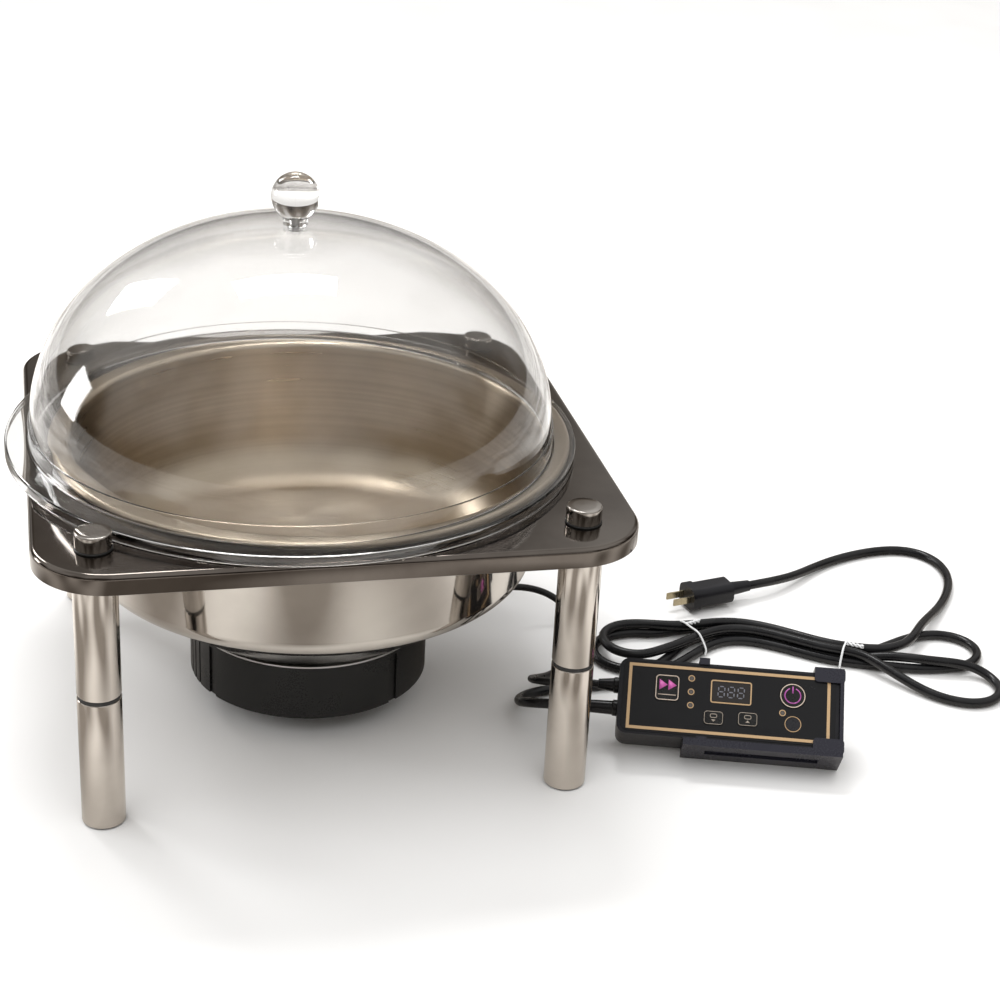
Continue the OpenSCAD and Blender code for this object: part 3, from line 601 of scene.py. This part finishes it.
def mains_path():
    """The whole mains cord: out of the box, five passes and four folds of the hank, and on to the plug."""
    low, high = 4.2, 12.4
    loop_a = [(488, -49, low), (512, -57, low), (532, -60, low), (551, -60, low), (566, -55.5, low),
              (577, -45, low), (581, -31, low), (577, -17, low), (566, -6.5, low), (551, -2.5, low),
              (531, -5, low), (511, -13.5, low), (492, -22, low)]
    loop_b = [(487, -41.5, 10), (507, -51.5, high), (527, -60, high), (545, -64, 11.5), (560, -68.5, 9),
              (570, -78, 6), (573.6, -91.5, low), (570, -105, low), (560, -115, low), (545.5, -119, low),
              (530, -115.5, low), (515, -105, low), (502, -90, 5.5), (490, -73, 8.5), (479, -56, 11.5)]
    left_a = [(294, 36, low), (276, 35, low), (260.5, 30.8, low), (249, 19.5, low), (245, 4, low),
              (249, -11.5, low), (260.5, -23, low), (276, -27, low), (292, -23, low), (307, -10, low),
              (322, 5, low)]
    left_b = [(302, -9.5, high), (292, -13.6, high), (281, -16, high), (268.5, -12.8, high), (258.5, -3, high),
              (255, 10.8, high), (258.5, 24.5, high), (268.5, 34, high), (282, 37.5, high), (297, 36, high),
              (313, 31.5, high)]
    return (MAINS_IN + hank_pass(-8.4, low) + loop_a + hank_pass(8.4, low, True) + left_a
            + hank_pass(0, low)[1:] + loop_b + hank_pass(-4.2, high, True) + left_b
            + hank_pass(4.2, high)[1:] + MAINS_OUT)


def tie_loop(at, way, half, top, name):
    """A white twist tie pulled round the bundle: a flat wire loop with its ends twisted together."""
    side = Vector((-way.y, way.x, 0))
    middle = Vector((at[0], at[1], 0))
    turns = [(-half, 1.2), (-half - 0.9, 4.2), (-half, 8.2), (-half * 0.55, top), (0, top + 0.5)]
    turns += [(-x, z) for x, z in turns[-2::-1]]
    loop = relaxed(smooth_path([middle + side * x + Vector((0, 0, z)) for x, z in turns], 8), 2, 3)
    data = cord_curve(name, loop, TIE_D, 4)
    twist_r, twist_turn, step = 1.1, 0.9, 1.1
    for phase in (0, math.pi):
        add_strand(data, [
            middle + side * (half * 0.3 + twist_r * math.cos(t * twist_turn + phase)) + way * (1 + t * step)
            + Vector((0, 0, top - 0.4 + twist_r * math.sin(t * twist_turn + phase))) for t in range(14)])
    return data


def ties():
    top = 16.9
    first = tie_loop((458, -31), Vector((0.84, -0.545, 0)), 13.0, top, "bundle_tie")
    second = tie_loop((334, 16), Vector((0.94, 0.34, 0)), 22.5, top, "fold_tie")
    piece = shown("bundle_tie", first, "base", TIE, ["mains_cord_tie"])
    other = shown("fold_tie", second, "base", TIE)
    return [piece, other]


def cords():
    lead = relaxed(smooth_path(LEAD_ROUTE, 6), 4, 16)
    piece = shown("heater_lead_cord", cord_curve("heater_lead_cord", lead, LEAD_D), "base", CORD,
                  ["heater_lead"])
    mains = relaxed(smooth_path(mains_path(), 6), 4, 16)
    piece = shown("mains_cord", cord_curve("mains_cord", mains, MAINS_D), "base", CORD,
                  ["mains_cord_in", "mains_cord_hank", "mains_cord_out"])
    [frame["nodes"]["plug_body"], frame["nodes"]["plug_blades"]] + ties()


cords()

# ---- control box marks -----------------------------------------------------------------------


def on_face(points, n):
    return [BOX @ Vector((u, v, n)) for u, v in points]


def flat_ring(bm, outer, inner, n0, n1):
    """A thin flat frame between two outlines, lying on the face."""
    loops = [on_face(outer, n0), on_face(outer, n1), on_face(inner, n1), on_face(inner, n0)]
    lofted(bm, loops)


def rect_line(bm, at, w, h, r, t, n0, n1):
    def outline(inset):
        pts = rounded_outline(w / 2 - inset, h / 2 - inset, max(r - inset, 0.3), 0, 8, 2)
        return [(at[0] + x, at[1] + y) for x, y, _ in pts]
    flat_ring(bm, outline(0), outline(t), n0, n1)


def circle_line(bm, at, r, t, n0, n1, a=0, b=360):
    """A thin circle, or an arc from `a` to `b` degrees, of line width `t`."""
    steps = 48
    if b - a >= 360:
        outer, inner = (arc(at[0], at[1], q, 0, 360, steps)[:-1] for q in (r, r - t))
        flat_ring(bm, outer, inner, n0, n1)
        return
    path = arc(at[0], at[1], r, a, b, steps) + arc(at[0], at[1], r - t, b, a, steps)
    flat_patch(bm, path, n0, n1)


def flat_patch(bm, path, n0, n1):
    low = [bm.verts.new(p * MM) for p in on_face(path, n0)]
    high = [bm.verts.new(p * MM) for p in on_face(path, n1)]
    bm.faces.new(high)
    bm.faces.new(low[::-1])
    for i in range(len(path)):
        j = (i + 1) % len(path)
        bm.faces.new((low[i], low[j], high[j], high[i]))


def marks():
    n0, n1 = KEY_TOP - 0.05, KEY_TOP + 0.12
    function_at, down_at, up_at, power_at = (-48.3, 8.3), (-11.3, -13.3), (15.2, -12.3), (49.5, 9.9)
    bm = bmesh.new()
    rect_line(bm, function_at, 18.1, 20.6, 3, 0.7, n0, n1)
    flat_patch(bm, [(-55.2, 2.2), (-41.4, 2.2), (-41.4, 2.8), (-55.2, 2.8)], n0, n1)
    shown("function_outline", mesh_from(bm, "function_outline"), "function_key", PALE)
    bm = bmesh.new()
    for x in (-54.5, -47.5):
        flat_patch(bm, [(x, 6.2), (x + 6.4, 10.6), (x, 15.0)], n0, n1)
    shown("function_arrows", mesh_from(bm, "function_arrows"), "function_key", PINK)
    for name, body, at, way in (("down", "down_key", down_at, -1), ("up", "up_key", up_at, 1)):
        bm = bmesh.new()
        rect_line(bm, at, 14.6, 10.6, 2.5, 0.4, n0, n1)
        rect_line(bm, (at[0], at[1] + 1.6), 5.6, 3.4, 1.5, 0.5, n0, n1)
        tip = at[1] - 2.2 + way * 1.1
        foot = at[1] - 2.2 - way * 0.7
        flat_patch(bm, [(at[0] - way * 1.8, foot), (at[0], tip), (at[0] + way * 1.8, foot)], n0, n1)
        shown(name + "_legend", mesh_from(bm, name + "_legend"), body, GREY)
    bm = bmesh.new()
    circle_line(bm, power_at, 9.8, 0.7, n0, n1)
    shown("power_outline", mesh_from(bm, "power_outline"), "power_key", PALE)
    bm = bmesh.new()
    circle_line(bm, power_at, 6.6, 0.9, n0, n1, 112, 428)
    x, y = power_at
    flat_patch(bm, [(x - 0.5, y + 2), (x + 0.5, y + 2), (x + 0.5, y + 7.6), (x - 0.5, y + 7.6)], n0, n1)
    shown("power_symbol", mesh_from(bm, "power_symbol"), "power_key", PLUM)


def segments():
    """The display's three unlit figures, seen on its smoked window."""
    bm = bmesh.new()
    x0, y0 = DISPLAY_AT
    thin, wide, tall, lean = 0.45, 1.7, 1.55, 0.08
    bars = [(0, v, wide, thin) for v in (-4.3, 0, 4.3)]
    bars += [(u, v, thin, tall) for u in (-2.4, 2.4) for v in (-2.15, 2.15)]
    for figure in (-7.6, 0, 7.6):
        for u, v, w, h in bars:
            x, y = x0 + figure + u + v * lean, y0 + v
            cut = min(w, h)
            if w > h:
                path = [(x - w, y), (x - w + cut, y - h), (x + w - cut, y - h),
                        (x + w, y), (x + w - cut, y + h), (x - w + cut, y + h)]
            else:
                path = [(x, y - h), (x + w, y - h + cut), (x + w, y + h - cut),
                        (x, y + h), (x - w, y + h - cut), (x - w, y - h + cut)]
            flat_patch(bm, path, KEY_TOP - 0.45, KEY_TOP - 0.37)
    shown("unlit_figures", mesh_from(bm, "unlit_figures"), "base", DIGIT, ["display_digits"])


marks()
segments()

# ---- finishes of the carried-over nodes --------------------------------------------------------


def finish(material, *names, soften=0.0):
    """Gives CAD nodes their material and, where asked, softly rounded edges."""
    for name in names:
        obj = frame["nodes"][name]
        obj.data.materials.clear()
        obj.data.materials.append(material)
        if soften:
            weld = obj.modifiers.new("weld", "WELD")
            weld.merge_threshold = 1e-6
            bevel = obj.modifiers.new("bevel", "BEVEL")
            bevel.width = soften * MM
            bevel.segments = 3
            bevel.limit_method = "ANGLE"
            bevel.angle_limit = math.radians(40)
            smooth = obj.modifiers.new("even", "WEIGHTED_NORMAL")
            smooth.keep_sharp = True


finish(PLATE, "leg_mount_pads")
finish(LEG, "leg_end_plugs")
finish(PLATED, "leg_studs", "lid_knob_screw", "heater_screws", "heater_clamp", "case_screws",
       "heater_element")
finish(SHELL, "heater_shell")
finish(HEAT, "heater_top_plate", "heater_thermostat")
finish(FIBRE, "heater_insulation")
finish(CERAMIC, "heater_terminals")
finish(CORD, "heater_gland", "lead_strain_relief", "mains_strain_relief")
finish(CASE, "case_front", "case_back", soften=1.0)
finish(CASE, "light_sensor")
finish(FACE, "face_overlay")
finish(GOLD, "face_frame")
finish(WINDOW, "display_window")
finish(CORE, "display_module", "power_relay", "key_switches", "power_transformer")
finish(BOARD, "circuit_board")
finish(LENS, "status_leds")
finish(KEY, "function_button", "down_button", "up_button", "power_button")
finish(HOLDER, "box_holder", soften=0.8)
finish(CASE, "plug_body", soften=1.0)
finish(BRASS, "plug_blades", soften=0.4)

# ---- stage -----------------------------------------------------------------------------------


def floor():
    """Plain pale floor, which reflects darker and unevenly in the steel, as a room would."""
    n = Nodes("floor_pale")
    n.mix(n.ramp(n.noise(3, 3), 0, 1), (0.83, 0.83, 0.83), (0.85, 0.85, 0.85))
    n.roughness(n.ramp(n.noise(6, 3), 0.5, 0.6))
    shade = n.add("ShaderNodeValToRGB")
    shade.color_ramp.elements[0].position = 0.36
    shade.color_ramp.elements[0].color = (0.25, 0.225, 0.2, 1)
    shade.color_ramp.elements[1].position = 0.6
    shade.color_ramp.elements[1].color = (0.86, 0.83, 0.79, 1)
    n.link(n.noise(3.2, 0), shade.inputs[0])
    dim = n.add("ShaderNodeBsdfDiffuse")
    n.link(shade.outputs["Color"], dim.inputs["Color"])
    ray = n.add("ShaderNodeLightPath")
    only = n.math("MULTIPLY", ray.outputs["Is Glossy Ray"],
                  n.math("SUBTRACT", 1, ray.outputs["Is Transmission Ray"]))
    choose = n.add("ShaderNodeMixShader")
    n.link(only, choose.inputs[0])
    n.link(n.shader.outputs[0], choose.inputs[1])
    n.link(dim.outputs[0], choose.inputs[2])
    n.link(choose.outputs[0], n.tree.nodes["Material Output"].inputs["Surface"])
    bm = bmesh.new()
    bmesh.ops.create_grid(bm, x_segments=2, y_segments=2, size=60)
    mesh = bpy.data.meshes.new("floor")
    bm.to_mesh(mesh)
    bm.free()
    obj = bpy.data.objects.new("floor", mesh)
    obj.location.z = -0.0005
    bpy.context.collection.objects.link(obj)
    mesh.materials.append(n.mat)


def lamp(name, place, target, size, power):
    data = bpy.data.lights.new(name, "AREA")
    data.shape = "RECTANGLE"
    data.size, data.size_y = size
    data.energy = power
    obj = bpy.data.objects.new(name, data)
    bpy.context.collection.objects.link(obj)
    obj.location = place
    obj.rotation_euler = (Vector(target) - Vector(place)).to_track_quat("-Z", "Y").to_euler()


def world():
    """A pale studio: white to look at, with a darker, uneven room for steel to reflect."""
    w = bpy.data.worlds.new("studio")
    w.use_nodes = True
    tree = w.node_tree
    add, link = tree.nodes.new, tree.links.new
    room = tree.nodes["Background"]
    place = add("ShaderNodeTexCoord").outputs["Generated"]
    height = add("ShaderNodeSeparateXYZ")
    link(place, height.inputs[0])
    rise = add("ShaderNodeMapRange")
    rise.inputs["From Min"].default_value = -0.05
    rise.inputs["From Max"].default_value = 0.75
    link(height.outputs["Z"], rise.inputs["Value"])
    squash = add("ShaderNodeMapping")
    squash.inputs["Scale"].default_value = (1, 1, 0.25)
    link(place, squash.inputs["Vector"])
    patches = add("ShaderNodeTexNoise")
    patches.inputs["Scale"].default_value = 2.6
    patches.inputs["Detail"].default_value = 1
    link(squash.outputs["Vector"], patches.inputs["Vector"])
    spread = add("ShaderNodeMapRange")
    spread.inputs["From Min"].default_value = 0.4
    spread.inputs["From Max"].default_value = 0.62
    spread.inputs["To Min"].default_value = -0.22
    spread.inputs["To Max"].default_value = 0.3
    link(patches.outputs["Fac"], spread.inputs["Value"])
    total = add("ShaderNodeMath")
    link(rise.outputs["Result"], total.inputs[0])
    link(spread.outputs["Result"], total.inputs[1])
    tone = add("ShaderNodeValToRGB")
    tone.color_ramp.elements[0].color = (0.035, 0.028, 0.023, 1)
    tone.color_ramp.elements[1].color = (0.95, 0.94, 0.92, 1)
    middle = tone.color_ramp.elements.new(0.4)
    middle.color = (0.22, 0.19, 0.16, 1)
    link(total.outputs[0], tone.inputs[0])
    link(tone.outputs["Color"], room.inputs["Color"])
    room.inputs["Strength"].default_value = 0.95
    white = add("ShaderNodeBackground")
    white.inputs["Color"].default_value = (1, 1, 1, 1)
    white.inputs["Strength"].default_value = 1.0
    ray = add("ShaderNodeLightPath")
    choose = add("ShaderNodeMixShader")
    link(ray.outputs["Is Camera Ray"], choose.inputs[0])
    link(room.outputs[0], choose.inputs[1])
    link(white.outputs[0], choose.inputs[2])
    link(choose.outputs[0], tree.nodes["World Output"].inputs["Surface"])
    bpy.context.scene.world = w


def sun():
    """Even, very soft light from above and a little to the left, so that the floor stays pale throughout."""
    data = bpy.data.lights.new("soft_sun", "SUN")
    data.energy = 1.7
    data.angle = math.radians(70)
    obj = bpy.data.objects.new("soft_sun", data)
    obj.rotation_euler = (math.radians(18), math.radians(-14), 0)
    obj.visible_glossy = False
    obj.visible_transmission = False
    bpy.context.collection.objects.link(obj)


floor()
sun()
lamp("ceiling_panel", (0.03, 1.0, 2.28), (-0.03, -0.09, 0.37), (1.0, 0.4), 24)
lamp("back_window", (-1.09, 1.58, 1.47), (-0.13, -0.05, 0.35), (0.45, 0.7), 12)
lamp("side_window", (-2.07, 1.0, 0.57), (-0.18, -0.09, 0.29), (0.5, 0.7), 10)
world()
bpy.context.scene.view_settings.view_transform = "Standard"
